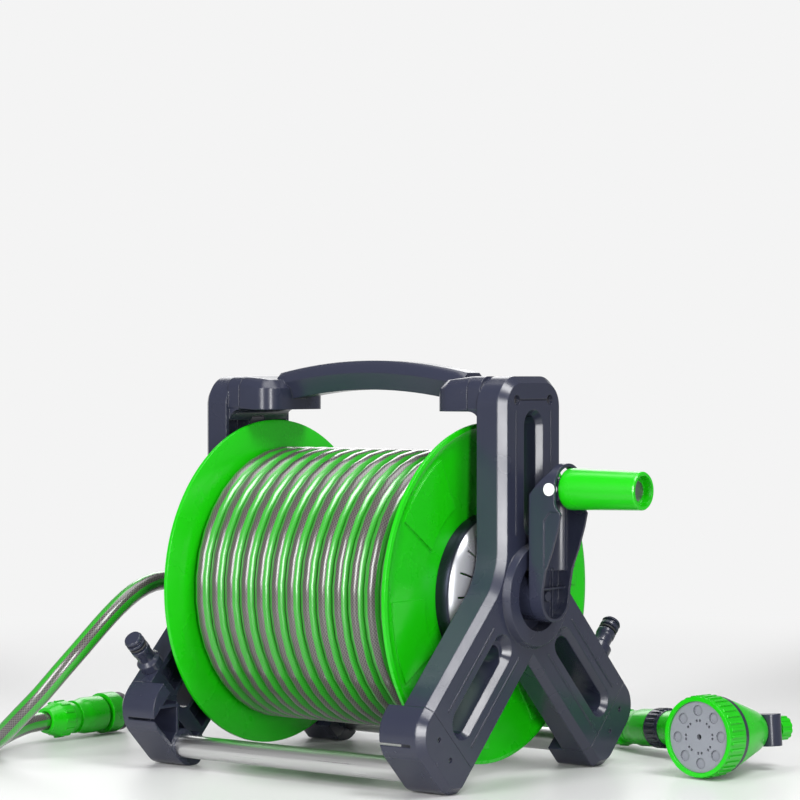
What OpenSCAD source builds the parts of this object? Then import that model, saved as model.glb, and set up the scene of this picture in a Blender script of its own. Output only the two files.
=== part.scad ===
// Portable garden hose reel: two side frames joined by tubes and a carry handle, a drum wound
// with hose, a folding crank, a short feed hose with a tap connector, and a spray gun on the
// free end of the wound hose. +X points to the crank, -Y to the front, +Z up. The origin is on
// the floor under the middle of the drum.

/* [Frame] */
// Height of the drum's axis above the floor
axis_z = 147; // [146:1:150]
// Distance from the middle of the reel to the outer face of a side frame
frame_out = 157; // [156:1:158]
// Distance from the middle of the reel to the inner face of a mast
frame_in = 131; // [130:1:132]
// Half of the width of a mast, front to back
mast_half = 41; // [39:1:43]
// Height of the top of the masts
mast_top = 321; // [316:1:326]
// Width of the bevel around a side frame's outer face
bevel_w = 5.5; // [4.5:0.5:7]
// Depth of the bevel around a side frame's outer face
bevel_d = 6; // [5:0.5:7]

/* [Drum] */
// Outer radius of the flanges
flange_r = 137; // [134:1:138]
// Radius of the drum's core
core_r = 67; // [59:0.5:67]
// Half of the clear width between the flanges
drum_half = 104.5; // [104:0.5:105]
// Outer diameter of the hose
hose_d = 16; // [15.5:0.1:16]
// Layers of hose wound on the core
hose_layers = 3; // [2:1:3]
// Radius of the water shaft
shaft_r = 9; // [8:0.5:10]

/* [Handle] */
// Height of the top of the carry handle at its middle
handle_top = 334; // [331:1:337]
// Thickness of the carry handle's bar
bar_t = 24; // [20:1:26]
// Width of the carry handle's bar
bar_w = 30; // [26:1:32]

/* [Crank] */
// Height of the folding pivot above the drum's axis
crank_r = 85.5; // [84:0.5:87]
// Half of the width of the crank arm
arm_half = 20; // [19.5:0.5:21]
// Length of the crank grip
grip_len = 69.5; // [62:0.5:70]
// Radius of the crank grip at its root
grip_r = 16.5; // [15.5:0.5:16.5]

/* [Hose fittings] */
// Radius of a male coupling spigot
spigot_r = 8; // [7.5:0.1:8.2]
// Radius of the quick connectors' collars
collar_r = 16; // [15:0.5:16.5]
// Length of the hose nuts
nut_len = 24; // [20:1:28]

/* [Spray gun] */
// Height of the gun from its inlet to the top of its head
gun_h = 137; // [132:1:140]
// Radius of the spray head
head_r = 33; // [31:0.5:33]
// Angle of the spray head above square to the grip
head_tilt = 16; // [12:1:20]

/* [Hidden] */

$fn = 64;
soft_fn = 48;
gap = 0.3;
slate = "#3c3e50";
green = "#2cbe1e";
steel = "#c9ccd0";
black = "#26272c";

// side frame outline, in the plane across the drum's axis
leg_out = 205;            // a leg's outer edge lies where |y| + z is this
leg_in = 93;              // a leg's inner edge lies where |y| + z is this
toe_line = 110;           // a foot's end lies where |y| - z is this
seam_line = 64;           // the foot blocks begin where |y| - z is this
toe_r = 26;
sole_r = 20;
heel_r = 8;
root_r = 10;
top_r = 24;
face_x = frame_out - bevel_d;
foot_in = 116.5;
slot_half = 9;
slot_bevel = 5;
ring_r = 40;
ring_x = frame_out + 6;
elbow_r = 60;             // curve between a mast's edge and a leg's edge
recess_r = 28;
recess_x = 150;
bush_r = 16;
tube_y = 111;
tube_z = 17;
tube_r = 9.4;
tube_end = 138;
foot_screw_at = [[124, 45], [110, 28]];
screw_r = 2;
left_spigot_at = [122, 83];    // |y| and z where a parking spigot meets its leg
right_spigot_at = [113, 92];

// carry handle
shoulder_in = 84;
shoulder_out = 119.5;
shoulder_low = 293;
shoulder_top = 321;
shoulder_half = 38;
shoulder_round = 12;
arch_drop = 12;
arch_half = 106;
arch_r = (arch_half * arch_half + arch_drop * arch_drop) / (2 * arch_drop);
handle_screw_at = [22.6, 302.3];

// crank
pivot_x = 186;
pivot_z = axis_z + crank_r;
arm_back = 166.5;
arm_web = 168.9;
cheek = 2.7;
arm_out = 196;
arm_top = 190.5;          // the cheeks step back to this beside the grip
trough_low = 167;
grip_root = 191;
pin_r = 3.2;
spindle_r = 6;

// drum
coil_r = core_r + hose_layers * hose_d;
rim_x = 114;
hub_cover_r = 64;
hub_cover_x = 129.4;
shaft_left = -183;
shaft_right = 158;
outlet_x = 80;            // where the hose leaves the shaft, inside the core

// hoses: the free routes, from the reel to the fitting at the far end
hose_r = hose_d / 2;
feed_route = [[-190, -42, 147], [-190, -67, 146], [-189.5, -91, 139], [-189.5, -113, 127],
    [-191, -133, 112], [-195, -151, 95], [-203, -166, 77], [-215, -177, 58], [-232, -182, 41],
    [-252, -180, 26], [-273, -171, 16], [-292, -155, 11.5], [-306, -134, 11.8],
    [-315, -111, 14.4], [-319, -87, 17.4], [-319, -62, 18.3]];
outlet_route = [[-96, 113, 196], [-96, 126, 183], [-96, 140, 167], [-97, 156, 148], [-98, 172, 128],
    [-98, 187, 108], [-97, 202, 88], [-93, 217, 68.5], [-84, 230, 50], [-70, 242, 33.5],
    [-50, 250.5, 20], [-26.5, 254, 11.8], [-1.5, 253.5, 8.6], [23.5, 248.5, 8.6], [47, 240.3, 11],
    [70, 229.5, 14.3], [91.8, 217.1, 16.5]];

// connectors along their own axis, from the end where the hose enters
body_z = nut_len + 3;
barb_z = 6;
connector_len = 66;
feed_end = feed_route[len(feed_route) - 1];

// spray gun: the foot of its inlet, how it is turned about the vertical, and its tilt
gun_yaw = -110;
gun_tilt = 4.9;
gun_at = [150, 196, 21.8];
head_u = 42;              // middle of the head's back face, ahead of the inlet's axis
head_v = gun_h - 6;
ring_len = 22;
pivot_u = -24;
pivot_v = 86;
trigger_half = 7;

// ---------------------------------------------------------------- helpers

// lays a shape drawn in (y, z) with its height along X
module along_x(x) { translate([x, 0, 0]) rotate([90, 0, 90]) children(); }

// a shaft, bush or disc along X
module x_rod(x0, x1, r, y = 0, z = axis_z) {
    along_x(x0) translate([y, z, 0]) cylinder(r = r, h = x1 - x0);
}

// the right-hand side carries the shape as drawn, the left-hand side mirrors it
module on_side(side) { if (side > 0) children(); else mirror([1, 0, 0]) children(); }

// bevelled convex plate: each corner is [y, z, radius]
module bevelled_plate(x0, corners) {
    hull() for (c = corners) {
        x_rod_facet(x0, face_x, c[2], c[0], c[1]);
        along_x(face_x) translate([c[0], c[1], 0])
            cylinder(r1 = c[2], r2 = max(0.5, c[2] - bevel_w), h = bevel_d, $fn = soft_fn);
    }
}
module x_rod_facet(x0, x1, r, y, z) {
    along_x(x0) translate([y, z, 0]) cylinder(r = r, h = x1 - x0, $fn = soft_fn);
}

function leg_corners(dir, root) = let(
    on_toe = toe_line - toe_r * sqrt(2), toe_sum = leg_out - toe_r * sqrt(2),
    sole_y = toe_line - sole_r * sqrt(2) + sole_r)
    concat(root, [[dir * (on_toe + toe_sum) / 2, (toe_sum - on_toe) / 2, toe_r],
        [dir * sole_y, sole_r, sole_r],
        [dir * (leg_in + heel_r * (sqrt(2) - 1)), heel_r, heel_r]]);

function leg_root(dir) = let(on_out = leg_out - root_r * sqrt(2), on_in = leg_in + root_r * sqrt(2))
    [[dir * 28, on_out - 28, root_r], [dir * -8, on_in + 8, root_r]];

// everything beyond the seam between a leg and its foot block
module beyond_seam(dir, line) {
    translate([0, dir * line, 0]) rotate([dir * -45, 0, 0])
        translate([0, dir > 0 ? 0 : -200, -200]) cube([200, 200, 400]);
}

// rounded slot between two points of the (y, z) plane, and the bevel it has at the face
function stadium(a, b, r) = let(t = atan2(b[1] - a[1], b[0] - a[0])) concat(
    [for (k = [0:16]) b + r * [cos(t - 90 + k * 11.25), sin(t - 90 + k * 11.25)]],
    [for (k = [0:16]) a + r * [cos(t + 90 + k * 11.25), sin(t + 90 + k * 11.25)]]);
module slot(x0, x1, a, b, r) {
    along_x(x0) linear_extrude(height = x1 - x0) polygon(stadium(a, b, r));
}
module slot_bevel(a, b, r) {
    hull() for (p = [a, b]) along_x(frame_out - slot_bevel - 1) translate([p[0], p[1], 0])
        cylinder(r1 = r - 1, r2 = r + slot_bevel + 1, h = slot_bevel + 3, $fn = soft_fn);
}

// ---------------------------------------------------------------- side frames

module frame_outer() {
    bevelled_plate(frame_in, [[-(mast_half - top_r), mast_top - top_r, top_r],
        [mast_half - top_r, mast_top - top_r, top_r],
        [-(mast_half - root_r), 150, root_r], [mast_half - root_r, 150, root_r]]);
    for (dir = [-1, 1]) difference() {
        bevelled_plate(frame_in, leg_corners(dir, leg_root(dir)));
        beyond_seam(dir, seam_line);
    }
}

// curved filling of the corner between a mast and a leg, bevelled like the rest of the face
module mast_elbow(dir) {
    at_y = mast_half + elbow_r - 0.4;
    at_z = leg_out - at_y + (elbow_r - 0.4) * sqrt(2);
    reach = elbow_r / sqrt(2);
    difference() {
        along_x(frame_in) linear_extrude(height = frame_out - frame_in) polygon([
            [dir * (mast_half - 10), at_z - 2], [dir * mast_half, at_z - 2],
            [dir * (at_y - reach + 1), at_z - reach - 1], [dir * 38, leg_out - 60]]);
        x_rod(frame_in - 1, frame_out + 1, elbow_r, dir * at_y, at_z);
        along_x(face_x) translate([dir * at_y, at_z, 0])
            cylinder(r1 = elbow_r, r2 = elbow_r + bevel_w * 1.17, h = bevel_d * 1.17);
    }
}

// hollows of a leg, on both sides of its slot, open towards the drum
module leg_hollows(dir) {
    for (side = [-1, 1], start = [-34, 3]) translate([frame_in - 1, dir * 70.5, 78.5])
        rotate([dir * -45, 0, 0]) translate([0, dir > 0 ? start : -start - 33.5, side * 23.5 - 11.5])
            cube([15, 33.5, 23]);
}

module side_frame(side) {
    color(slate) on_side(side) difference() {
        union() {
            frame_outer();
            x_rod(frame_in - 0.5, recess_x, 34);
            along_x(frame_out - 0.5) translate([0, axis_z, 0])
                cylinder(r1 = ring_r + 2.5, r2 = ring_r, h = ring_x - frame_out + 0.5);
            for (dir = [-1, 1]) mast_elbow(dir);
            // socket that takes the end of the carry handle, filleted into the mast below
            shoulder_slab(shoulder_out, frame_in + 1);
            difference() {
                translate([frame_in - 11, -shoulder_half + 1, shoulder_low - 11])
                    cube([12, 2 * shoulder_half - 2, 12]);
                translate([frame_in - 11, -50, shoulder_low - 11]) rotate([-90, 0, 0])
                    cylinder(r = 11, h = 100);
            }
            // raised moulding lines on the outer face
            for (dir = [-1, 1]) {
                ridge(dir * 24, 196, 98, 0);
                translate([0, dir * (leg_out - 27), 0]) ridge(0, 92, 84, dir * 45);
                translate([0, dir * (leg_in + 26), 0]) ridge(0, 50, 90, dir * 45);
            }
        }
        // hub recess with its bearing seat
        x_rod(recess_x, ring_x + 1, recess_r);
        x_rod(frame_in - 2, recess_x + 1, bush_r);
        // long slot in the mast
        slot(frame_in - 1, frame_out + 1, [0, 202], [0, 281.5], slot_half);
        slot_bevel([0, 205], [0, 281.5], slot_half);
        // long slots in the legs
        for (dir = [-1, 1]) {
            slot(frame_in - 1, frame_out + 1, [dir * 47, 102], [dir * 94, 55], slot_half);
            slot_bevel([dir * 43, 106], [dir * 94, 55], slot_half);
        }
        // hollow of the mast, open towards the drum
        for (dir = [-1, 1]) translate([frame_in - 1, dir * 24.5 - 13, 196])
            cube([14.5, 26, 88]);
        for (dir = [-1, 1]) leg_hollows(dir);
        // groove between the handle's screws
        translate([frame_out - 1, -22, 301.7]) cube([2, 44, 1.2]);
        // screw holes for the carry handle, and its tongue's pocket
        for (dir = [-1, 1])
            x_rod(frame_in - 14, frame_out + 1, screw_r, dir * handle_screw_at[0], handle_screw_at[1]);
        for (dir = [-1, 1])
            x_rod(frame_out - 6, frame_out + 1, 4, dir * handle_screw_at[0], handle_screw_at[1]);
        translate([shoulder_out - 1, -30, shoulder_low + 3]) cube([24, 60, 20]);
    }
}

// thin raised line on the outer face, up from a height, turned in the face's plane
module ridge(y, from, len, turn) {
    rotate([turn, 0, 0]) translate([frame_out - 0.5, y - 0.8, from]) cube([1.1, 1.6, len]);
}

module left_side_frame() { side_frame(-1); }
module right_side_frame() { side_frame(1); }

// ---------------------------------------------------------------- feet

module foot_block(side, dir) {
    color(slate) on_side(side) difference() {
        intersection() {
            bevelled_plate(foot_in, leg_corners(dir, leg_root(dir)));
            beyond_seam(dir, seam_line + gap);
        }
        // hollow, open towards the drum
        difference() {
            along_x(foot_in - 1) translate([dir * 115, 38, 0]) rotate([0, 0, dir * -45])
                translate([-20, -25, 0]) cube([36, 50, 30]);
            x_rod(foot_in - 2, foot_in + 40, tube_r + 5, dir * tube_y, tube_z);
            translate([foot_in - 1, dir * 118 - 1.2, 0]) cube([40, 2.4, 80]);
            translate([foot_in - 1, dir * 118 - 40, 50]) cube([40, 80, 2.4]);
        }
        x_rod(foot_in - 1, tube_end, tube_r, dir * tube_y, tube_z);
        for (at = foot_screw_at) x_rod(frame_out - 8, frame_out + 1, screw_r, dir * at[0], at[1]);
    }
}

module left_front_foot() { foot_block(-1, -1); }
module left_rear_foot() { foot_block(-1, 1); }
module right_front_foot() { foot_block(1, -1); }
module right_rear_foot() { foot_block(1, 1); }

module foot_screws() {
    color(black) for (side = [-1, 1], dir = [-1, 1], at = foot_screw_at) on_side(side)
        x_rod(frame_out - 8, frame_out - 2, screw_r, dir * at[0], at[1]);
}

module cross_tube(dir) {
    color(steel) difference() {
        x_rod(-tube_end, tube_end, tube_r, dir * tube_y, tube_z);
        x_rod(-tube_end - 1, tube_end + 1, tube_r - 1.2, dir * tube_y, tube_z);
    }
}
module front_tube() { cross_tube(-1); }
module rear_tube() { cross_tube(1); }

// ---------------------------------------------------------------- carry handle

// stretch of the arched bar, from the arch's outer radius inwards
module arch_bar() {
    translate([0, 0, handle_top - arch_r]) rotate([90, 0, 0]) intersection() {
        arch_ring();
        linear_extrude(height = 200, center = true)
            polygon([[0, 0], [-240, 2 * arch_r], [240, 2 * arch_r]]);
    }
}
module arch_ring() {
    rotate_extrude($fn = 180) polygon([[arch_r - bar_t, -9], [arch_r - 10, -bar_w / 2],
        [arch_r - 4, -bar_w / 2 + 2], [arch_r, -8], [arch_r, 8], [arch_r - 4, bar_w / 2 - 2],
        [arch_r - 10, bar_w / 2], [arch_r - bar_t, 9]]);
}

// a slice of the shoulder across the X axis, rounded along its top edges
module shoulder_slab(x0, x1) {
    hull() for (dir = [-1, 1]) {
        x_rod_facet(x0, x1, shoulder_round, dir * (shoulder_half - shoulder_round), shoulder_top - shoulder_round);
        x_rod_facet(x0, x1, 3, dir * (shoulder_half - 3), shoulder_low + 3);
    }
}
module handle_shoulder() {
    difference() {
        union() {
            hull() {
                shoulder_slab(shoulder_out - 2, shoulder_out - gap);
                for (dir = [-1, 1]) translate([shoulder_in + 16, dir * (shoulder_half - 16), shoulder_low]) {
                    cylinder(r = 16, h = 18, $fn = soft_fn);
                    cylinder(r = 9, h = 25, $fn = soft_fn);
                }
            }
            // tongue inside the mast's socket
            translate([shoulder_out - 1, -30 + gap, shoulder_low + 3 + gap])
                cube([22, 60 - 2 * gap, 20 - 2 * gap]);
        }
        // underside is hollow, as it is moulded
        translate([shoulder_in + 6, -20, shoulder_low - 1]) cube([shoulder_out - shoulder_in - 10, 40, 11]);
        for (dir = [-1, 1])
            x_rod(shoulder_out + 4, frame_in + 12, screw_r, dir * handle_screw_at[0], handle_screw_at[1]);
    }
}

module carry_handle() {
    color(slate) {
        intersection() {
            arch_bar();
            translate([-shoulder_in - 14, -50, 250]) cube([2 * shoulder_in + 28, 100, 120]);
        }
        handle_shoulder();
        mirror([1, 0, 0]) handle_shoulder();
    }
}

module handle_screws() {
    color(steel) for (side = [-1, 1], dir = [-1, 1]) on_side(side) {
        x_rod(frame_out - 6, frame_out - 3.5, 3.8, dir * handle_screw_at[0], handle_screw_at[1]);
        x_rod(frame_in - 2, frame_out - 5.9, screw_r, dir * handle_screw_at[0], handle_screw_at[1]);
    }
}

// ---------------------------------------------------------------- parking spigots

// the outline of a male coupling nipple, base at 0
module nipple(len) {
    rotate_extrude() polygon([[0, 0], [spigot_r + 2.5, 0], [spigot_r + 2.5, 7], [spigot_r - 0.6, 10],
        [spigot_r - 0.6, len - 17], [spigot_r, len - 16], [spigot_r, len - 12], [spigot_r - 2, len - 11],
        [spigot_r - 2, len - 8], [spigot_r, len - 7], [spigot_r, len - 5], [spigot_r - 2, len - 4.5],
        [spigot_r - 2, len - 2.5], [spigot_r, len - 2], [spigot_r - 1, len], [0, len]]);
}

module parked(side, dir) {
    at = side > 0 ? right_spigot_at : left_spigot_at;
    on_side(side) translate([(frame_in + face_x) / 2, dir * at[0], at[1]])
        rotate([dir * -45, 0, 0]) children();
}
module left_parking_spigot() { color(black) parked(-1, -1) nipple(34); }
module right_parking_spigot() { color(black) parked(1, 1) nipple(34); }

module o_ring(z, r) { translate([0, 0, z]) rotate_extrude() translate([r, 0]) circle(r = 0.95, $fn = 24); }
module spigot_seals() {
    color(black) for (side = [-1, 1]) parked(side, side) o_ring(34 - 9.5, spigot_r - 1.03);
}

// ---------------------------------------------------------------- bearings and water inlet

module bush(side) {
    color(black) on_side(side) difference() {
        union() {
            x_rod(frame_in - 1.2, recess_x - 0.2, bush_r);
            x_rod(frame_in - 1.2, frame_in - 0.5, bush_r + 3);
        }
        x_rod(frame_in - 3, recess_x + 3, shaft_r + 0.05);
    }
}
module left_bearing() { bush(-1); }
module right_bearing() { bush(1); }

elbow_x = -190;
module inlet_elbow() {
    color(black) difference() {
        union() {
            x_rod(elbow_x + 2, -recess_x, 14);
            x_rod(elbow_x - 12, elbow_x + 3, 13);
            translate([elbow_x, 0, axis_z]) rotate([90, 0, 0]) cylinder(r = 12, h = 24);
            translate([elbow_x, -23, axis_z]) rotate([90, 0, 0]) cylinder(r = hose_r - 2, h = 19);
        }
        x_rod(shaft_left - 4, -recess_x + 1, shaft_r + 0.05);
        translate([elbow_x, 4, axis_z]) rotate([90, 0, 0]) cylinder(r = 4, h = 60);
    }
}
module inlet_seals() {
    color(black) for (x = [-174, -166]) difference() {
        x_rod(x - 1, x + 1, shaft_r - 0.1);
        x_rod(x - 2, x + 2, shaft_r - 1.5);
    }
}
module inlet_clip() {
    color(steel) difference() {
        x_rod(-155.5, -154, 20);
        x_rod(-157, -153, 14.1);
        translate([-158, -5, axis_z - 30]) cube([8, 10, 20]);
    }
}
module hose_nut(len, r_small, r_big, bore) {
    difference() {
        union() {
            cylinder(r1 = r_small, r2 = r_big, h = len * 0.55);
            translate([0, 0, len * 0.55 - 0.01]) cylinder(r = r_big, h = len * 0.45);
            for (i = [0:11]) rotate([0, 0, 30 * i]) translate([r_big - 0.8, -1.2, len * 0.5])
                cube([1.6, 2.4, len * 0.45]);
        }
        translate([0, 0, -1]) cylinder(r = bore, h = len + 2);
    }
}
module inlet_nut() {
    color(green) translate([elbow_x, -24.2 - nut_len + 4, axis_z]) rotate([-90, 0, 0])
        hose_nut(nut_len - 4, hose_r + 2.5, 14, hose_r + 0.05);
}

// ---------------------------------------------------------------- hoses

function tangent(p, i) = let(a = p[max(i - 1, 0)], b = p[min(i + 1, len(p) - 1)]) (b - a) / norm(b - a);
function ring_at(p, i, r, sides) = let(t = tangent(p, i), n0 = cross(t, [0, 0, 1]), n = n0 / norm(n0), b = cross(t, n))
    [for (k = [0:sides - 1]) p[i] + r * cos(360 * k / sides) * n + r * sin(360 * k / sides) * b];
module swept_tube(p, r, sides = 12) {
    last = len(p) - 1;
    points = [for (i = [0:last]) each ring_at(p, i, r, sides)];
    walls = [for (i = [0:last - 1], k = [0:sides - 1]) let(n = (k + 1) % sides)
        each [[i * sides + k, i * sides + n, (i + 1) * sides + n],
            [i * sides + k, (i + 1) * sides + n, (i + 1) * sides + k]]];
    first_cap = [[for (k = [0:sides - 1]) sides - 1 - k]];
    last_cap = [[for (k = [0:sides - 1]) last * sides + k]];
    polyhedron(points = points, faces = concat(walls, first_cap, last_cap), convexity = 8);
}
module feed_hose() { color(green) swept_tube(feed_route, hose_r); }
module outlet_hose() { color(green) swept_tube(outlet_route, hose_r); }

// ---------------------------------------------------------------- quick connectors

// quick connector along +Z: hose nut, body, release collar
module connector_nut() { hose_nut(nut_len, hose_r + 3, collar_r - 0.5, hose_r + 0.1); }
module connector_body() {
    difference() {
        rotate_extrude() polygon([[0, barb_z], [5.9, barb_z], [5.9, nut_len + gap], [13.5, nut_len + gap], [13.5, body_z + 4],
            [12.5, body_z + 4.5], [12.5, connector_len - 6], [0, connector_len - 6]]);
        translate([0, 0, 3]) cylinder(r = 3.5, h = 80);
        translate([0, 0, body_z + 8]) cylinder(r = spigot_r + 0.1, h = 60);
    }
}
module connector_collar() {
    difference() {
        rotate_extrude() polygon([[12.6, body_z + 7], [14.5, body_z + 7], [14.5, body_z + 13],
            [collar_r, body_z + 20], [collar_r, connector_len], [12.6, connector_len]]);
        for (i = [0:7]) rotate([0, 0, 45 * i]) translate([collar_r + 0.6, -2, body_z + 22])
            cube([3, 4, 10]);
    }
}
module tap_place() { translate(feed_end - [0, barb_z, 0]) rotate([-90, 0, 0]) children(); }
module tap_nut() { color(green) tap_place() connector_nut(); }
module tap_connector() { color(green) tap_place() connector_body(); }
module tap_collar() { color(green) tap_place() connector_collar(); }
tap_z = connector_len - 24;
module tap_adapter() {
    color(green) tap_place() difference() {
        union() {
            translate([0, 0, tap_z]) cylinder(r = spigot_r, h = 26);
            translate([0, 0, connector_len + gap]) cylinder(r = 12.5, h = 5);
            translate([0, 0, connector_len + 4]) cylinder(r = 18, h = 15);
        }
        translate([0, 0, tap_z - 1]) cylinder(r = 5, h = 60);
        translate([0, 0, connector_len + 8]) cylinder(r = 13, h = 60);
    }
}
module tap_seal() {
    color(black) tap_place() difference() {
        union() {
            translate([0, 0, connector_len + 8.2]) cylinder(r = 12.9, h = 12);
            translate([0, 0, connector_len + 19.1]) cylinder(r = 17, h = 8);
        }
        translate([0, 0, connector_len + 7]) cylinder(r = 9, h = 40);
    }
}

// ---------------------------------------------------------------- drum

module drum_core() {
    color(green) difference() {
        x_rod(-drum_half, drum_half, core_r);
        x_rod(-drum_half - 1, drum_half + 1, core_r - 2.5);
        translate([outlet_x, 0, axis_z]) cylinder(r = 9.2, h = 80);
    }
}

// flange for the crank side: dished disc with a rolled rim and six raised panels on its outer side
module flange(side) {
    color(green) on_side(side) difference() {
        union() {
            along_x(0) translate([0, axis_z, 0]) rotate_extrude($fn = 128) polygon([
                [shaft_r + 4, drum_half + gap], [72, drum_half + gap], [84, drum_half + 0.6],
                [flange_r - 4, rim_x - 4], [flange_r, rim_x - 3], [flange_r, rim_x],
                [flange_r - 3, rim_x + 0.6], [flange_r - 9, rim_x - 2.4], [86, drum_half + 4.2],
                [72, drum_half + 3], [shaft_r + 4, drum_half + 3]]);
            intersection() {
                along_x(0) translate([0, axis_z, 0]) rotate_extrude($fn = 128) polygon([
                    [78, drum_half + 1.6], [flange_r - 12, rim_x - 4], [flange_r - 12, rim_x - 1.4],
                    [80, drum_half + 5.2]]);
                along_x(drum_half) translate([0, axis_z, 0]) for (i = [0:5]) rotate([0, 0, 60 * i])
                    linear_extrude(height = 12) polygon([[10, 0], [140, 0], [140, 81], [5, 8.7]]);
            }
            x_rod(drum_half + 1, drum_half + 9, 22);
        }
        x_rod(drum_half - 3, drum_half + 20, shaft_r + 4);
    }
}
module left_flange() { flange(-1); }
module right_flange() { flange(1); }

// domed cover between a flange and its side frame
module hub_cover(side) {
    color(steel) on_side(side) difference() {
        along_x(0) translate([0, axis_z, 0]) rotate_extrude($fn = 96) polygon([
            [hub_cover_r, drum_half + 3], [hub_cover_r, 118], [hub_cover_r - 1.6, 120.4],
            [hub_cover_r - 5, 123.4], [hub_cover_r - 9, 125.6], [hub_cover_r - 14, 127.4],
            [hub_cover_r - 20, 128.7], [hub_cover_r - 27, hub_cover_x], [24, hub_cover_x],
            [24, hub_cover_x - 2.4], [hub_cover_r - 27, hub_cover_x - 2.4], [hub_cover_r - 20, 126.4],
            [hub_cover_r - 12, 123.8], [hub_cover_r - 6, 120.2], [hub_cover_r - 2.4, 116],
            [hub_cover_r - 2.4, drum_half + 3]]);
        for (i = [0:17]) translate([0, 0, axis_z]) rotate([20 * i + 10, 0, 0])
            translate([118, -0.9, 44]) cube([14, 1.8, 13]);
    }
}
module left_hub_cover() { hub_cover(-1); }
module right_hub_cover() { hub_cover(1); }

module water_shaft() {
    color(black) difference() {
        union() {
            x_rod(shaft_left, shaft_right, shaft_r);
            for (side = [-1, 1]) on_side(side) x_rod(drum_half + gap, drum_half + 6, shaft_r + 4);
            translate([outlet_x, 0, axis_z]) cylinder(r = 9, h = 30);
        }
        x_rod(shaft_left - 1, outlet_x + 5, 5);
        translate([outlet_x, 0, axis_z]) cylinder(r = 5, h = 60);
        x_rod(shaft_right - 14, shaft_right + 1, 2.4);
        for (x = [-174, -166]) difference() {
            x_rod(x - 1.1, x + 1.1, shaft_r + 1);
            x_rod(x - 2, x + 2, shaft_r - 1.5);
        }
    }
}

// elbow inside the core that the first turn of hose is clamped on
module drum_outlet() {
    color(black) difference() {
        translate([outlet_x, 0, axis_z + 30.1]) cylinder(r = 9, h = core_r - 31.5);
        translate([outlet_x, 0, axis_z + 29]) cylinder(r = 5, h = 60);
    }
}
module drum_screws() {
    color(steel) for (side = [-1, 1], i = [0:3]) on_side(side)
        translate([0, 0, axis_z]) rotate([90 * i + 45, 0, 0]) {
            x_rod(drum_half + 3.1, drum_half + 5, 3.4, 0, 50);
        }
}
module wound_hose() {
    color(green) difference() {
        x_rod(-drum_half + gap, drum_half - gap, coil_r);
        x_rod(-drum_half - 1, drum_half + 1, core_r + 0.1);
    }
}

// ---------------------------------------------------------------- crank

module arm_outline(r, x0, x1) {
    x_rod(x0, x1, r, 0, pivot_z);
    x_rod(x0, x1, r, 0, axis_z);
    translate([x0, -r, axis_z]) cube([x1 - x0, 2 * r, crank_r]);
}
module crank_arm() {
    color(slate) difference() {
        union() {
            intersection() {
                union() {
                    difference() {
                        arm_outline(arm_half, arm_back, arm_out);
                        arm_outline(arm_half - cheek, arm_web, arm_out + 1);
                    }
                    // trough that the folded grip lies in
                    difference() {
                        translate([arm_back + 0.5, -arm_half + 1, trough_low])
                            cube([10, 2 * arm_half - 2, pivot_z - trough_low]);
                        translate([pivot_x, 0, trough_low - 5]) cylinder(r = grip_r + 0.5, h = 90);
                    }
                    // ribs of the open pocket at the hub
                    for (y = [-6.5, 6.5]) translate([arm_web - 0.5, y - 0.8, 129]) cube([3, 1.6, 40]);
                    translate([arm_web - 0.5, -arm_half + 1, 152.6]) cube([6.5, 2 * arm_half - 2, 1.6]);
                }
                // outline of the cheeks, seen from the front
                translate([0, 40, 0]) rotate([90, 0, 0]) linear_extrude(height = 80) polygon([
                    [arm_back - 1, 120], [178, 120], [178.8, 152], [181.6, 168], [188, 184], [193.6, 202],
                    [arm_out, 213], [arm_top + 1, 219], [arm_top, 222], [arm_top, 256], [185, 256],
                    [183, 246.5], [arm_back, 228], [arm_back - 1, 228]]);
            }
            x_rod(recess_x + 0.7, arm_back + 1, arm_half - 0.5);
        }
        x_rod(recess_x, shaft_right + 0.1, shaft_r);
        x_rod(recess_x, arm_web + 1, 2.6);
        translate([pivot_x, -30, pivot_z]) rotate([-90, 0, 0]) cylinder(r = pin_r, h = 60);
        // shallow panel on the outside of each cheek
        for (dir = [-1, 1]) translate([0, dir * (arm_half + 4.2), 0]) rotate([90, 0, 0])
            linear_extrude(height = 10, center = true)
                polygon([[180.5, 171], [180.5, 208], [186, 215], [200, 215], [200, 171]]);
    }
}
module crank_screw() {
    color(steel) {
        x_rod(arm_web + 0.1, arm_web + 2.6, 4.2);
        x_rod(shaft_right - 12, arm_web + 0.2, 2.4);
    }
}
module pivot_pin() {
    color(steel) translate([pivot_x, 0, pivot_z]) rotate([90, 0, 0]) {
        cylinder(r = pin_r, h = 2 * arm_half, center = true);
        for (s = [-1, 1]) translate([0, 0, s * (arm_half + 0.6)]) cylinder(r = 5, h = 1.2, center = true);
    }
}
module grip_spindle() {
    color(black) difference() {
        union() {
            intersection() {
                translate([pivot_x, 0, pivot_z]) rotate([90, 0, 0]) cylinder(r = 9, h = 28, center = true);
                x_rod(pivot_x - 20, grip_root - gap, 30, 0, pivot_z);
            }
            x_rod(pivot_x, grip_root - gap, 11, 0, pivot_z);
            x_rod(pivot_x, grip_root + grip_len - 12, spindle_r, 0, pivot_z);
        }
        translate([pivot_x, 30, pivot_z]) rotate([90, 0, 0]) cylinder(r = pin_r + 0.05, h = 60);
        x_rod(grip_root + grip_len - 26, grip_root + grip_len, 1.5, 0, pivot_z);
    }
}
module crank_grip() {
    end_x = grip_root + grip_len;
    color(green) difference() {
        along_x(0) translate([0, pivot_z, 0]) rotate_extrude($fn = 96) polygon([
            [spindle_r + 0.06, grip_root], [grip_r - 2.5, grip_root], [grip_r - 0.7, grip_root + 0.7],
            [grip_r, grip_root + 2.5], [15, end_x - 1], [14.2, end_x], [12, end_x], [12, end_x - 8],
            [spindle_r + 0.06, end_x - 8]]);
    }
}
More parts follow.
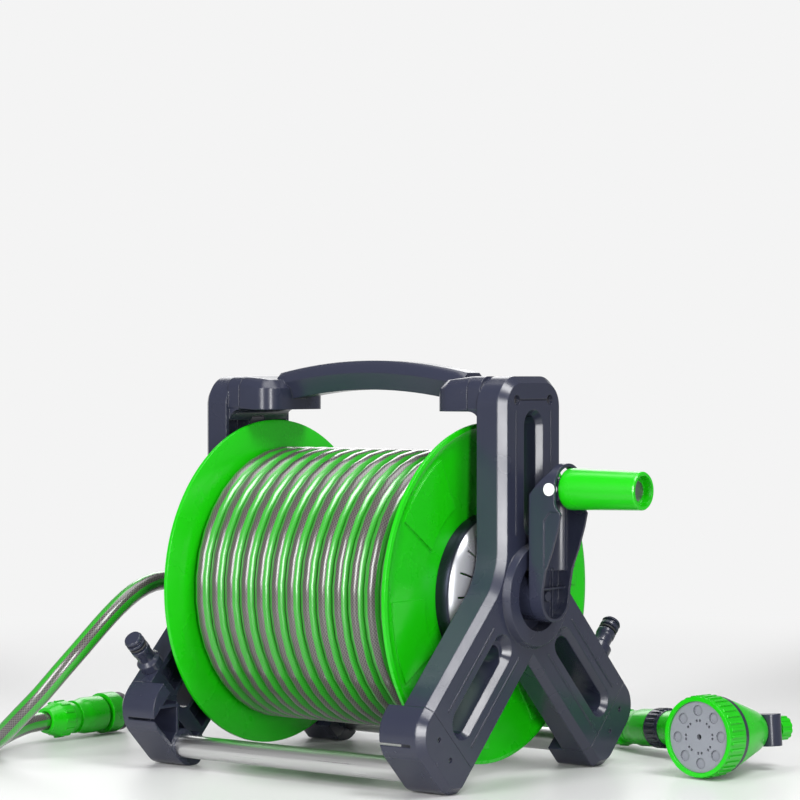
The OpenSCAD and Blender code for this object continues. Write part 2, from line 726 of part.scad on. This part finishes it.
module grip_screw() {
    end_x = grip_root + grip_len;
    color(steel) {
        x_rod(end_x - 7.4, end_x - 5.6, 8, 0, pivot_z);
        x_rod(end_x - 24, end_x - 7.3, 1.5, 0, pivot_z);
    }
}

// ---------------------------------------------------------------- spray gun

// the gun's own frame: X towards the spray, Y across, Z up the grip from the inlet
module gun_place() {
    translate(gun_at) rotate([0, 0, gun_yaw]) rotate([-90 + gun_tilt, 0, 0]) children();
}
module spray_axis() { translate([head_u, 0, head_v]) rotate([0, 90 - head_tilt, 0]) children(); }
module gun_coupling() { translate([0, 0, -connector_len - 2]) children(); }

module gun_nut() { color(green) gun_place() gun_coupling() connector_nut(); }
module gun_connector() { color(green) gun_place() gun_coupling() connector_body(); }
module gun_collar() { color(green) gun_place() gun_coupling() connector_collar(); }

module gun_inlet() {
    color(slate) gun_place() difference() {
        union() {
            translate([0, 0, -25]) cylinder(r = spigot_r, h = 26);
            translate([0, 0, -1.6]) cylinder(r = 13, h = 1.7);
            translate([0, 0, 0]) cylinder(r1 = 17, r2 = 15.5, h = 15.7);
            for (i = [0:23]) rotate([0, 0, 15 * i]) translate([15.4, -0.9, 1]) cube([1.7, 1.8, 12]);
        }
        translate([0, 0, -26]) cylinder(r = 5, h = 60);
    }
}
module lump(u, v, r, half) {
    translate([u, 0, v]) rotate([90, 0, 0]) cylinder(r = r, h = 2 * half, center = true, $fn = soft_fn);
}
module gun_body() {
    color(green) gun_place() difference() {
        union() {
            hull() {
                translate([0, 0, 16]) cylinder(r = 15, h = 2, $fn = soft_fn);
                translate([0, 0, 60]) scale(1) cylinder(r = 15.5, h = 2, $fn = soft_fn);
            }
            hull() {
                translate([0, 0, 60]) cylinder(r = 15.5, h = 2, $fn = soft_fn);
                translate([2, 0, 96]) sphere(r = 16, $fn = soft_fn);
            }
            hull() {
                translate([2, 0, 96]) sphere(r = 16, $fn = soft_fn);
                translate([6, 0, 122]) sphere(r = 19, $fn = soft_fn);
            }
            hull() {
                translate([6, 0, 122]) sphere(r = 19, $fn = soft_fn);
                spray_axis() translate([0, 0, -5]) cylinder(r = head_r - 3, h = 4.8, $fn = 48);
            }
        }
        translate([0, 0, 10]) cylinder(r = 5, h = 80);
        spray_axis() translate([0, 0, -8]) cylinder(r = 9, h = 20);
    }
}
module gun_cover() {
    color(slate) gun_place() difference() {
        union() {
            hull() { lump(-19, 92, 8, 12); lump(-16, 128, 9, 13); lump(-21, 60, 3.5, 9); }
            hull() { lump(-19.5, 60, 2.8, 8); lump(-18.5, 22, 2.6, 7); }
        }
        hull() {
            translate([0, 0, 16]) cylinder(r = 15 + gap, h = 2, $fn = soft_fn);
            translate([0, 0, 61]) cylinder(r = 15.5 + gap, h = 2, $fn = soft_fn);
        }
        hull() {
            translate([0, 0, 60]) cylinder(r = 15.5 + gap, h = 2, $fn = soft_fn);
            translate([2, 0, 96]) sphere(r = 16 + gap, $fn = soft_fn);
        }
        hull() {
            translate([2, 0, 96]) sphere(r = 16 + gap, $fn = soft_fn);
            translate([6, 0, 122]) sphere(r = 19 + gap, $fn = soft_fn);
        }
        // room for the trigger
        translate([-70, -trigger_half - 0.5, 0]) cube([70 - 19.5, 2 * trigger_half + 1, 101]);
        translate([pivot_u, 30, pivot_v]) rotate([90, 0, 0]) cylinder(r = 3, h = 60);
        // seat of the flow knob's stem
        translate([-24, 0, 118]) rotate([0, -90, 0]) cylinder(r = 6.8, h = 20);
    }
}
module gun_trigger() {
    color(slate) gun_place() difference() {
        translate([0, trigger_half, 0]) rotate([90, 0, 0]) linear_extrude(height = 2 * trigger_half)
            polygon([[pivot_u + 1, pivot_v + 6], [pivot_u - 5, pivot_v + 8], [pivot_u - 12, pivot_v - 4],
                [pivot_u - 16, pivot_v - 30], [pivot_u - 24, pivot_v - 54], [pivot_u - 36, pivot_v - 78],
                [pivot_u - 29, pivot_v - 80], [pivot_u - 14, pivot_v - 58], [pivot_u - 7, pivot_v - 34],
                [pivot_u + 1, pivot_v - 14], [pivot_u + 3.4, pivot_v - 4]]);
        translate([pivot_u, 30, pivot_v]) rotate([90, 0, 0]) cylinder(r = 3.05, h = 60);
    }
}
module trigger_pin() {
    color(steel) gun_place() translate([pivot_u, 0, pivot_v]) rotate([90, 0, 0])
        cylinder(r = 3, h = 23.6, center = true);
}
module trigger_spring() {
    color(steel) gun_place() translate([0, 0, 40]) difference() {
        cylinder(r = 4.6, h = 22);
        translate([0, 0, -1]) cylinder(r = 3.6, h = 30);
    }
}
module flow_knob() {
    color(green) gun_place() translate([-27.5, 0, 118]) rotate([0, -90, 0]) {
        translate([0, 0, -2]) cylinder(r = 6.5, h = 4);
        difference() {
            translate([0, 0, 2]) cylinder(r = 10, h = 10);
            for (i = [0:11]) rotate([0, 0, 30 * i]) translate([9.4, -1.2, 1]) cube([3, 2.4, 12]);
        }
    }
}
module head_band() {
    color(slate) gun_place() spray_axis() difference() {
        translate([0, 0, 0]) cylinder(r = head_r - 1.5, h = 4.5);
        translate([0, 0, -1]) cylinder(r = 9, h = 20);
    }
}
module spray_ring() {
    color(green) gun_place() spray_axis() translate([0, 0, 4.8]) difference() {
        union() {
            cylinder(r = head_r - 1, h = ring_len);
            for (i = [0:35]) rotate([0, 0, 10 * i]) translate([head_r - 1.6, -1.1, 2])
                cube([1.6, 2.2, ring_len - 5]);
        }
        translate([0, 0, -1]) cylinder(r = 9, h = 40);
        translate([0, 0, ring_len - 7]) cylinder(r = head_r - 4.5, h = 8);
    }
}
module spray_plate() {
    color("#8b8e96") gun_place() spray_axis() translate([0, 0, 4.8 + ring_len - 6.9]) difference() {
        cylinder(r = head_r - 4.6, h = 4.5);
        translate([0, 0, -1]) cylinder(r = 2.2, h = 8);
        for (i = [0:7]) rotate([0, 0, 45 * i]) {
            translate([21, 0, 2.2]) cylinder(r = 4.4, h = 5);
            for (j = [-1, 1]) rotate([0, 0, 7 * j]) translate([13, 0, 2.5]) cylinder(r = 1.1, h = 5, $fn = 16);
        }
    }
}
module spray_seal() {
    color(black) gun_place() spray_axis() difference() {
        translate([0, 0, 2]) cylinder(r = 8.95, h = 12);
        translate([0, 0, 1]) cylinder(r = 5, h = 14);
    }
}

left_side_frame();
right_side_frame();
left_front_foot();
left_rear_foot();
right_front_foot();
right_rear_foot();
foot_screws();
front_tube();
rear_tube();
carry_handle();
handle_screws();
left_parking_spigot();
right_parking_spigot();
spigot_seals();
left_bearing();
right_bearing();
inlet_elbow();
inlet_seals();
inlet_clip();
inlet_nut();
feed_hose();
tap_seal();
tap_adapter();
tap_collar();
tap_connector();
tap_nut();
drum_core();
left_flange();
right_flange();
left_hub_cover();
right_hub_cover();
water_shaft();
drum_outlet();
drum_screws();
wound_hose();
crank_arm();
crank_screw();
pivot_pin();
grip_spindle();
crank_grip();
grip_screw();
outlet_hose();
gun_nut();
gun_connector();
gun_collar();
gun_inlet();
gun_body();
gun_cover();
gun_trigger();
trigger_pin();
trigger_spring();
flow_knob();
head_band();
spray_ring();
spray_plate();
spray_seal();
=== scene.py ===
import math

import bpy
import numpy as np
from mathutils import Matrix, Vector


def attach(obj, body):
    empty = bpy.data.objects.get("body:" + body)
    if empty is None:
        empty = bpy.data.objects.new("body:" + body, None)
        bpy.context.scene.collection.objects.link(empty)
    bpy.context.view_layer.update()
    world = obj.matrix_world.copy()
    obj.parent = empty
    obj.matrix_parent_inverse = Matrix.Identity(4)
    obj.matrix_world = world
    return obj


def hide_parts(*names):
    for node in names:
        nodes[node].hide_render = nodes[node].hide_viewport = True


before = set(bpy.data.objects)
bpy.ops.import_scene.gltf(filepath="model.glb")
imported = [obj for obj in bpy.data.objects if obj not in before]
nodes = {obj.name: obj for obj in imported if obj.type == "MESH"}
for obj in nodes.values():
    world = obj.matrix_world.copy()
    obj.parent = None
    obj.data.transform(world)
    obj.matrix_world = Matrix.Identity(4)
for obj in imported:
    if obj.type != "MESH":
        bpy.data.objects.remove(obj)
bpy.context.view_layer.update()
scene = bpy.context.scene

# The camera stands ahead and to the crank's side, level with the top of the masts, and looks
# slightly down across the whole reel.
camera = bpy.data.objects.new("camera", bpy.data.cameras.new("camera"))
scene.collection.objects.link(camera)
camera.location = (1.4344, -1.8219, 0.3216)
camera.rotation_euler = (math.radians(89.5), 0, math.radians(37.766))
camera.data.lens = 126.11
camera.data.sensor_width = 36
camera.data.clip_start = 0.05
scene.camera = camera

# The hose is a smoky, glossy vinyl tube, 16 mm across, with a white yarn braid under its skin and
# four broad green stripes along it. The stripes and the braid follow the tube's UVs: U is the
# length in metres and V goes once around.
HOSE_D = 0.016
STRIPES = 4
BRAID_AROUND = 40 * math.pi
BRAID_ALONG = 2000


def principled(name, color, roughness, metallic=0.0, coat=0.0, coat_roughness=0.1, specular=0.5):
    """A new material, with its node tree and its shader."""
    material = bpy.data.materials.new(name)
    material.use_nodes = True
    shader = material.node_tree.nodes["Principled BSDF"]
    shader.inputs["Base Color"].default_value = (*color, 1)
    shader.inputs["Roughness"].default_value = roughness
    shader.inputs["Metallic"].default_value = metallic
    shader.inputs["Coat Weight"].default_value = coat
    shader.inputs["Coat Roughness"].default_value = coat_roughness
    shader.inputs["Specular IOR Level"].default_value = specular
    return material, material.node_tree, shader


def feed_sockets(tree, sockets, values):
    """Links each value to its socket if it comes from a node, or sets it there."""
    for socket, value in zip(sockets, values):
        if isinstance(value, bpy.types.NodeSocket):
            tree.links.new(value, socket)
        else:
            socket.default_value = value


def math_node(tree, operation, *values):
    node = tree.nodes.new("ShaderNodeMath")
    node.operation = operation
    feed_sockets(tree, node.inputs, values)
    return node.outputs[0]


def vector_node(tree, operation, *values):
    node = tree.nodes.new("ShaderNodeVectorMath")
    node.operation = operation
    feed_sockets(tree, node.inputs, values)
    return node.outputs["Value" if operation in ("LENGTH", "DOT_PRODUCT") else "Vector"]


def map_range(tree, value, start, end, low=0.0, high=1.0, smooth=False):
    """Low where the value is at start, high where it is at end."""
    node = tree.nodes.new("ShaderNodeMapRange")
    node.interpolation_type = "SMOOTHSTEP" if smooth else "LINEAR"
    feed_sockets(tree, node.inputs, (value, start, end, low, high))
    return node.outputs[0]


def mix_color(tree, factor, a, b):
    node = tree.nodes.new("ShaderNodeMix")
    node.data_type = "RGBA"
    colors = [(*color, 1) if isinstance(color, tuple) else color for color in (a, b)]
    feed_sockets(tree, (node.inputs[0], node.inputs[6], node.inputs[7]), (factor, *colors))
    return node.outputs[2]


hose_material, tree, shader = principled(
    "hose", (0.2, 0.19, 0.17), 0.32, coat=1.0, coat_roughness=0.2)
uv = tree.nodes.new("ShaderNodeUVMap")
uv.uv_map = "UVMap"
split = tree.nodes.new("ShaderNodeSeparateXYZ")
tree.links.new(uv.outputs[0], split.inputs[0])
along, around = split.outputs[0], split.outputs[1]
in_stripe = math_node(tree, "FRACT", math_node(tree, "MULTIPLY_ADD", around, STRIPES, 0.5))
off_stripe = math_node(tree, "ABSOLUTE", math_node(tree, "SUBTRACT", in_stripe, 0.5))
stripe = map_range(tree, off_stripe, 0.25, 0.21, smooth=True)
yarn_along = math_node(tree, "MULTIPLY", along, BRAID_ALONG)
yarn_around = math_node(tree, "MULTIPLY", around, BRAID_AROUND)
left_yarn = math_node(tree, "SINE", math_node(tree, "ADD", yarn_along, yarn_around))
right_yarn = math_node(tree, "SINE", math_node(tree, "SUBTRACT", yarn_along, yarn_around))
braid = map_range(tree, math_node(tree, "MAXIMUM", left_yarn, right_yarn), 0.5, 1.0, smooth=True)
smoke = mix_color(tree, braid, (0.034, 0.030, 0.027), (0.12, 0.11, 0.104))
green_stripe = mix_color(tree, braid, (0.01, 0.25, 0.006), (0.024, 0.33, 0.016))
tree.links.new(mix_color(tree, stripe, smoke, green_stripe), shader.inputs["Base Color"])


def smooth_line(points, parts=2):
    """Points on a smooth curve through the given ones, parts to each stretch."""
    p = np.array(points, float)
    p = np.vstack([2 * p[0] - p[1], p, 2 * p[-1] - p[-2]])
    line = []
    for i in range(1, len(p) - 2):
        for t in np.arange(parts) / parts:
            line.append(0.5 * (2 * p[i] + (p[i + 1] - p[i - 1]) * t
                               + (2 * p[i - 1] - 5 * p[i] + 4 * p[i + 1] - p[i + 2]) * t ** 2
                               + (3 * p[i] - p[i - 1] - 3 * p[i + 1] + p[i + 2]) * t ** 3))
    return np.array(line + [p[-2]])


def hose_piece(name, line, first_normal, sides, turn):
    """A tube along line. V is 0 where turn radians around from first_normal, whose direction is
    carried along the line without twist."""
    tangents = np.gradient(line, axis=0)
    tangents /= np.linalg.norm(tangents, axis=1)[:, None]
    u = np.r_[0, np.cumsum(np.linalg.norm(np.diff(line, axis=0), axis=1))]
    angles = (turn + 2 * math.pi * np.arange(sides) / sides)[:, None]
    normal = np.array(first_normal, float)
    rings = []
    for point, tangent in zip(line, tangents):
        normal = normal - tangent * (normal @ tangent)
        normal /= np.linalg.norm(normal)
        side = np.cross(tangent, normal)
        rings.append(point + HOSE_D / 2 * (np.cos(angles) * normal + np.sin(angles) * side))
    faces, uvs = [], []
    for i in range(len(line) - 1):
        for k in range(sides):
            a, b = i * sides + k, i * sides + (k + 1) % sides
            faces.append((a, b, b + sides, a + sides))
            v0, v1 = k / sides, (k + 1) / sides
            uvs += [(u[i], v0), (u[i], v1), (u[i + 1], v1), (u[i + 1], v0)]
    last = (len(line) - 1) * sides
    for cap in (tuple(range(sides))[::-1], tuple(range(last, last + sides))):
        faces.append(cap)
        uvs += [(0, 0)] * sides
    mesh = bpy.data.meshes.new(name)
    mesh.from_pydata([tuple(v) for v in np.concatenate(rings)], [], faces)
    layer = mesh.uv_layers.new(name="UVMap")
    layer.data.foreach_set("uv", np.array(uvs, np.float32).ravel())
    mesh.polygons.foreach_set("use_smooth", [True] * (len(faces) - 2) + [False] * 2)
    mesh.materials.append(hose_material)
    piece = bpy.data.objects.new(name, mesh)
    scene.collection.objects.link(piece)
    return piece


# The feed hose comes out of the nut on the inlet elbow, droops to the floor on the reel's left and
# ends in the tap connector, which lies there. It is pushed on a barb and clamped by the nut.
feed_line = smooth_line([
    (-0.190, -0.042, 0.147), (-0.190, -0.067, 0.146), (-0.1895, -0.091, 0.139), (-0.1895, -0.113, 0.127),
    (-0.191, -0.133, 0.112), (-0.195, -0.151, 0.095), (-0.203, -0.166, 0.077), (-0.215, -0.177, 0.058),
    (-0.232, -0.182, 0.041), (-0.252, -0.180, 0.026), (-0.273, -0.171, 0.016), (-0.292, -0.155, 0.0115),
    (-0.306, -0.134, 0.0118), (-0.315, -0.111, 0.0144), (-0.319, -0.087, 0.0174), (-0.319, -0.062, 0.0183)])
feed = hose_piece("feed_hose_tube", feed_line, (1, 0, 0), 24, 0.0)
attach(feed, "stand")
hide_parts("feed_hose")

# The wound hose: 22 m in three layers of thirteen turns on the drum's core. Each turn lies straight
# around the drum and steps to the next lane at the back; at the ends it climbs to the next layer.
AXIS_Z = 0.147
FIRST_LANE_X, FIRST_LAYER_R = 0.096, 0.075
TURNS_PER_LAYER, LAYERS = 13, 3
LAST_TURN = TURNS_PER_LAYER * LAYERS - 1
STRIPE_TURN = math.radians(64)


def eased(start, length, angle):
    """How far a smooth step from start, in degrees, has come at the angle, in radians."""
    t = max(0.0, min(1.0, (angle - math.radians(start)) / math.radians(length)))
    return t ** 2 * (3 - 2 * t)


end_turn = math.radians(360 * LAST_TURN + 35)
turns_line = []
for angle in np.linspace(0, end_turn, int(end_turn / math.radians(10)) + 1):
    x, r = FIRST_LANE_X, FIRST_LAYER_R
    for turn in range(LAST_TURN):
        layer, lane = divmod(turn, TURNS_PER_LAYER)
        if lane < TURNS_PER_LAYER - 1:
            toward = 1 if layer % 2 else -1
            x += toward * HOSE_D * eased(360 * turn + 75, 95, angle)
        else:
            r += HOSE_D * eased(360 * turn, 150, angle)
    turns_line.append((x, r * math.sin(angle), AXIS_Z + r * math.cos(angle)))
turns_line = np.array(turns_line)
winding = hose_piece("hose_winding", turns_line, (0, 0, 1), 12, STRIPE_TURN)
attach(winding, "drum")
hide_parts("wound_hose")

# The hose's free end leaves the top layer at the back, drops to the floor behind the drum and runs
# round to the spray gun, which lies on the floor at the crank's side.
outlet_line = smooth_line([
    (-0.096, 0.0614, 0.2346), (-0.096, 0.0825, 0.2196), (-0.096, 0.0985, 0.2080), (-0.096, 0.113, 0.196),
    (-0.096, 0.126, 0.183), (-0.096, 0.140, 0.167), (-0.097, 0.156, 0.148), (-0.098, 0.172, 0.128),
    (-0.098, 0.187, 0.108), (-0.097, 0.202, 0.088), (-0.093, 0.217, 0.0685), (-0.084, 0.230, 0.050),
    (-0.070, 0.242, 0.0335), (-0.050, 0.2505, 0.020), (-0.0265, 0.254, 0.0118), (-0.0015, 0.2535, 0.0086),
    (0.0235, 0.2485, 0.0086), (0.047, 0.2403, 0.011), (0.070, 0.2295, 0.0143), (0.0918, 0.2171, 0.0165)])
outlet = hose_piece("outlet_hose_tube", outlet_line, (0, 0.574, 0.819), 24, STRIPE_TURN)
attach(outlet, "stand")
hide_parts("outlet_hose")

# The floor is a plain pale disc. Past the reel it turns into an even white glow that carries on up a
# low wall all around, brightest behind the reel, so that no horizon shows. Large soft lamps stand
# ahead, on the right, overhead and behind, in a dim surround.
RING_POINTS = 96
WALL_R, WALL_H = 4.0, 1.5
BEHIND = Vector((-0.6124, 0.7905, 0))


def ring_of(radius, height):
    steps = [2 * math.pi * i / RING_POINTS for i in range(RING_POINTS)]
    return [(radius * math.cos(t), radius * math.sin(t), height - 0.0002) for t in steps]


rings = [ring_of(0.7, 0), ring_of(WALL_R - 0.4, 0), ring_of(WALL_R, 0.2), ring_of(WALL_R, WALL_H)]
floor_faces = [tuple(range(RING_POINTS))]
for ring in range(len(rings) - 1):
    for i in range(RING_POINTS):
        a, b = RING_POINTS * ring + i, RING_POINTS * ring + (i + 1) % RING_POINTS
        floor_faces.append((a + RING_POINTS, b + RING_POINTS, b, a))
floor_mesh = bpy.data.meshes.new("floor")
floor_mesh.from_pydata([v for ring in rings for v in ring], [], floor_faces)
floor = bpy.data.objects.new("floor", floor_mesh)
scene.collection.objects.link(floor)
floor_material, tree, shader = principled("floor", (0.66, 0.66, 0.66), 0.35, specular=0.4)
floor_place = tree.nodes.new("ShaderNodeNewGeometry").outputs["Position"]
reach = vector_node(tree, "LENGTH", floor_place)
toward_back = math_node(tree, "DIVIDE", vector_node(tree, "DOT_PRODUCT", floor_place, BEHIND), reach)
glow = tree.nodes.new("ShaderNodeEmission")
brightness = map_range(tree, toward_back, 0.75, 0.93, 0.3, 0.905, smooth=True)
tree.links.new(brightness, glow.inputs["Strength"])
blend = tree.nodes.new("ShaderNodeMixShader")
tree.links.new(map_range(tree, reach, 0.35, 1.5, smooth=True), blend.inputs[0])
tree.links.new(shader.outputs[0], blend.inputs[1])
tree.links.new(glow.outputs[0], blend.inputs[2])
tree.links.new(blend.outputs[0], tree.nodes["Material Output"].inputs["Surface"])
floor_mesh.materials.append(floor_material)


def lamp(name, place, size, power):
    """A rectangular soft lamp at place that points at the middle of the drum."""
    light = bpy.data.lights.new(name, "AREA")
    light.shape = "RECTANGLE"
    light.size, light.size_y = size
    light.energy = power
    obj = bpy.data.objects.new(name, light)
    scene.collection.objects.link(obj)
    obj.location = place
    obj.rotation_euler = (Vector((0, 0, 0.15)) - Vector(place)).to_track_quat("-Z", "Y").to_euler()


lamp("key", (-0.15, -2.5, 1.0), (0.7, 1.7), 58)
lamp("top", (-0.2, 0.2, 1.8), (1.0, 1.0), 10)
lamp("strip", (1.95, -1.60, 0.5), (0.3, 1.5), 44)
lamp("upper_right", (1.25, -0.15, 1.95), (0.8, 0.8), 34)
lamp("back", (-1.3, 1.4, 1.2), (1.2, 0.8), 10)
scene.world = scene.world or bpy.data.worlds.new("world")
scene.world.use_nodes = True
surround = scene.world.node_tree.nodes["Background"]
surround.inputs["Color"].default_value = (1, 1, 1, 1)
surround.inputs["Strength"].default_value = 0.22
scene.view_settings.view_transform = "Standard"


# Moulded slate-blue polypropylene: side frames, feet, carry handle, crank arm, gun cover and the
# small dark fittings, with a satin skin and slightly rounded edges. The metal crank screw at the bottom
# of the arm's pocket wears it too, as painted shade for the dark pocket. The seals are black rubber.
def dress(names, material, angle=35):
    """Gives nodes one material, and smooth shading that breaks at edges sharper than angle."""
    for name in names:
        node = nodes[name]
        node.data.materials.clear()
        node.data.materials.append(material)
        node.data.polygons.foreach_set("use_smooth", [True] * len(node.data.polygons))
        weld = node.modifiers.new("weld", "WELD")
        weld.merge_threshold = 0.00001
        smooth = node.modifiers.new("edges", "EDGE_SPLIT")
        smooth.split_angle = math.radians(angle)


def skin(tree, shader, radius, grain, depth, low, high):
    """Rounds the edges to radius and gives the surface a fine grain and a patchy gloss."""
    bevel = tree.nodes.new("ShaderNodeBevel")
    bevel.samples = 6
    bevel.inputs["Radius"].default_value = radius
    place = tree.nodes.new("ShaderNodeTexCoord").outputs["Object"]
    fine, patches = [tree.nodes.new("ShaderNodeTexNoise") for _ in range(2)]
    for texture, scale, detail in ((fine, grain, 3), (patches, 22, 4)):
        texture.inputs["Scale"].default_value = scale
        texture.inputs["Detail"].default_value = detail
        tree.links.new(place, texture.inputs["Vector"])
    bump = tree.nodes.new("ShaderNodeBump")
    bump.inputs["Strength"].default_value = 0.25
    bump.inputs["Distance"].default_value = depth
    tree.links.new(fine.outputs["Fac"], bump.inputs["Height"])
    tree.links.new(bevel.outputs[0], bump.inputs["Normal"])
    tree.links.new(bump.outputs[0], shader.inputs["Normal"])
    gloss = map_range(tree, patches.outputs["Fac"], 0.3, 0.7, low, high)
    tree.links.new(gloss, shader.inputs["Roughness"])


slate, tree, shader = principled("slate", (0.022, 0.025, 0.045), 0.25)
skin(tree, shader, 0.0012, 1400, 0.0001, 0.2, 0.29)
# crank_screw is metal; the dark slate on it is painted shade for the pocket it sits in.
dress(("left_side_frame", "right_side_frame", "left_front_foot", "left_rear_foot", "right_front_foot",
       "right_rear_foot", "carry_handle", "crank_arm", "grip_spindle", "gun_cover", "gun_trigger",
       "gun_inlet", "head_band", "left_parking_spigot", "right_parking_spigot", "left_bearing",
       "right_bearing", "inlet_elbow", "water_shaft", "drum_outlet", "crank_screw"), slate)
black, tree, shader = principled("black_rubber", (0.018, 0.018, 0.02), 0.55)
skin(tree, shader, 0.0004, 900, 0.0001, 0.5, 0.65)
dress(("spigot_seals", "inlet_seals", "tap_seal", "spray_seal"), black)

# Glossy bright green ABS: drum core and flanges, crank grip, connectors, gun body and spray ring.
green, tree, shader = principled("green", (0.007, 0.44, 0.002), 0.28, coat=0.15, specular=0.45)
skin(tree, shader, 0.0008, 500, 0.00006, 0.24, 0.32)
dress(("drum_core", "left_flange", "right_flange", "crank_grip", "inlet_nut", "tap_nut", "tap_connector",
       "tap_collar", "tap_adapter", "gun_nut", "gun_connector", "gun_collar", "gun_body", "flow_knob",
       "spray_ring"), green)

# Metal: brushed steel stand tubes, with the brush marks along them, plated screws, and the crank's
# white-enamelled pivot pin.
tube_metal, tree, shader = principled("tube_steel", (0.68, 0.68, 0.68), 0.3, metallic=1.0)
stretch = tree.nodes.new("ShaderNodeMapping")
stretch.inputs["Scale"].default_value = (12, 900, 900)
tree.links.new(tree.nodes.new("ShaderNodeTexCoord").outputs["Object"], stretch.inputs["Vector"])
marks = tree.nodes.new("ShaderNodeTexNoise")
marks.inputs["Scale"].default_value = 1
marks.inputs["Detail"].default_value = 4
tree.links.new(stretch.outputs[0], marks.inputs["Vector"])
brushed = map_range(tree, marks.outputs["Fac"], 0, 1, 0.2, 0.42)
tree.links.new(brushed, shader.inputs["Roughness"])
dress(("front_tube", "rear_tube"), tube_metal)
screw_metal, tree, shader = principled("screw_steel", (0.3, 0.3, 0.32), 0.3, metallic=1.0)
skin(tree, shader, 0.0003, 700, 0.00005, 0.22, 0.38)
dress(("foot_screws", "handle_screws", "inlet_clip", "drum_screws", "grip_screw",
       "trigger_pin", "trigger_spring"), screw_metal)
enamel, tree, shader = principled("white_enamel", (0.82, 0.83, 0.84), 0.3, coat=0.3)
skin(tree, shader, 0.0006, 600, 0.00004, 0.26, 0.34)
dress(("pivot_pin",), enamel)

# The hub covers are domed slate shells. Inside 63 mm of the axle their colour is a painted highlight, a
# silver metal, and only the edge keeps the slate. The spray plate in the gun's head is plain grey plastic.
PAINTED_HIGHLIGHT, SLATE_EDGE = (0.55, 0.56, 0.6), (0.03, 0.033, 0.055)
highlight_cover, tree, shader = principled("silver_cover", PAINTED_HIGHLIGHT, 0.26, metallic=0.75)
skin(tree, shader, 0.0006, 1500, 0.00006, 0.24, 0.33)
cover_place = tree.nodes.new("ShaderNodeTexCoord").outputs["Object"]
off_axis = vector_node(tree, "MULTIPLY_ADD", cover_place, (0, 1, 1), (0, 0, -AXIS_Z))
edge = map_range(tree, vector_node(tree, "LENGTH", off_axis), 0.0626, 0.0632)
# Painted highlight: silver metal inside the cover's slate edge.
tree.links.new(mix_color(tree, edge, PAINTED_HIGHLIGHT, SLATE_EDGE), shader.inputs["Base Color"])
dress(("left_hub_cover", "right_hub_cover"), highlight_cover)
grey, tree, shader = principled("grey_plate", (0.2, 0.21, 0.24), 0.4)
skin(tree, shader, 0.0004, 900, 0.00006, 0.36, 0.46)
dress(("spray_plate",), grey)
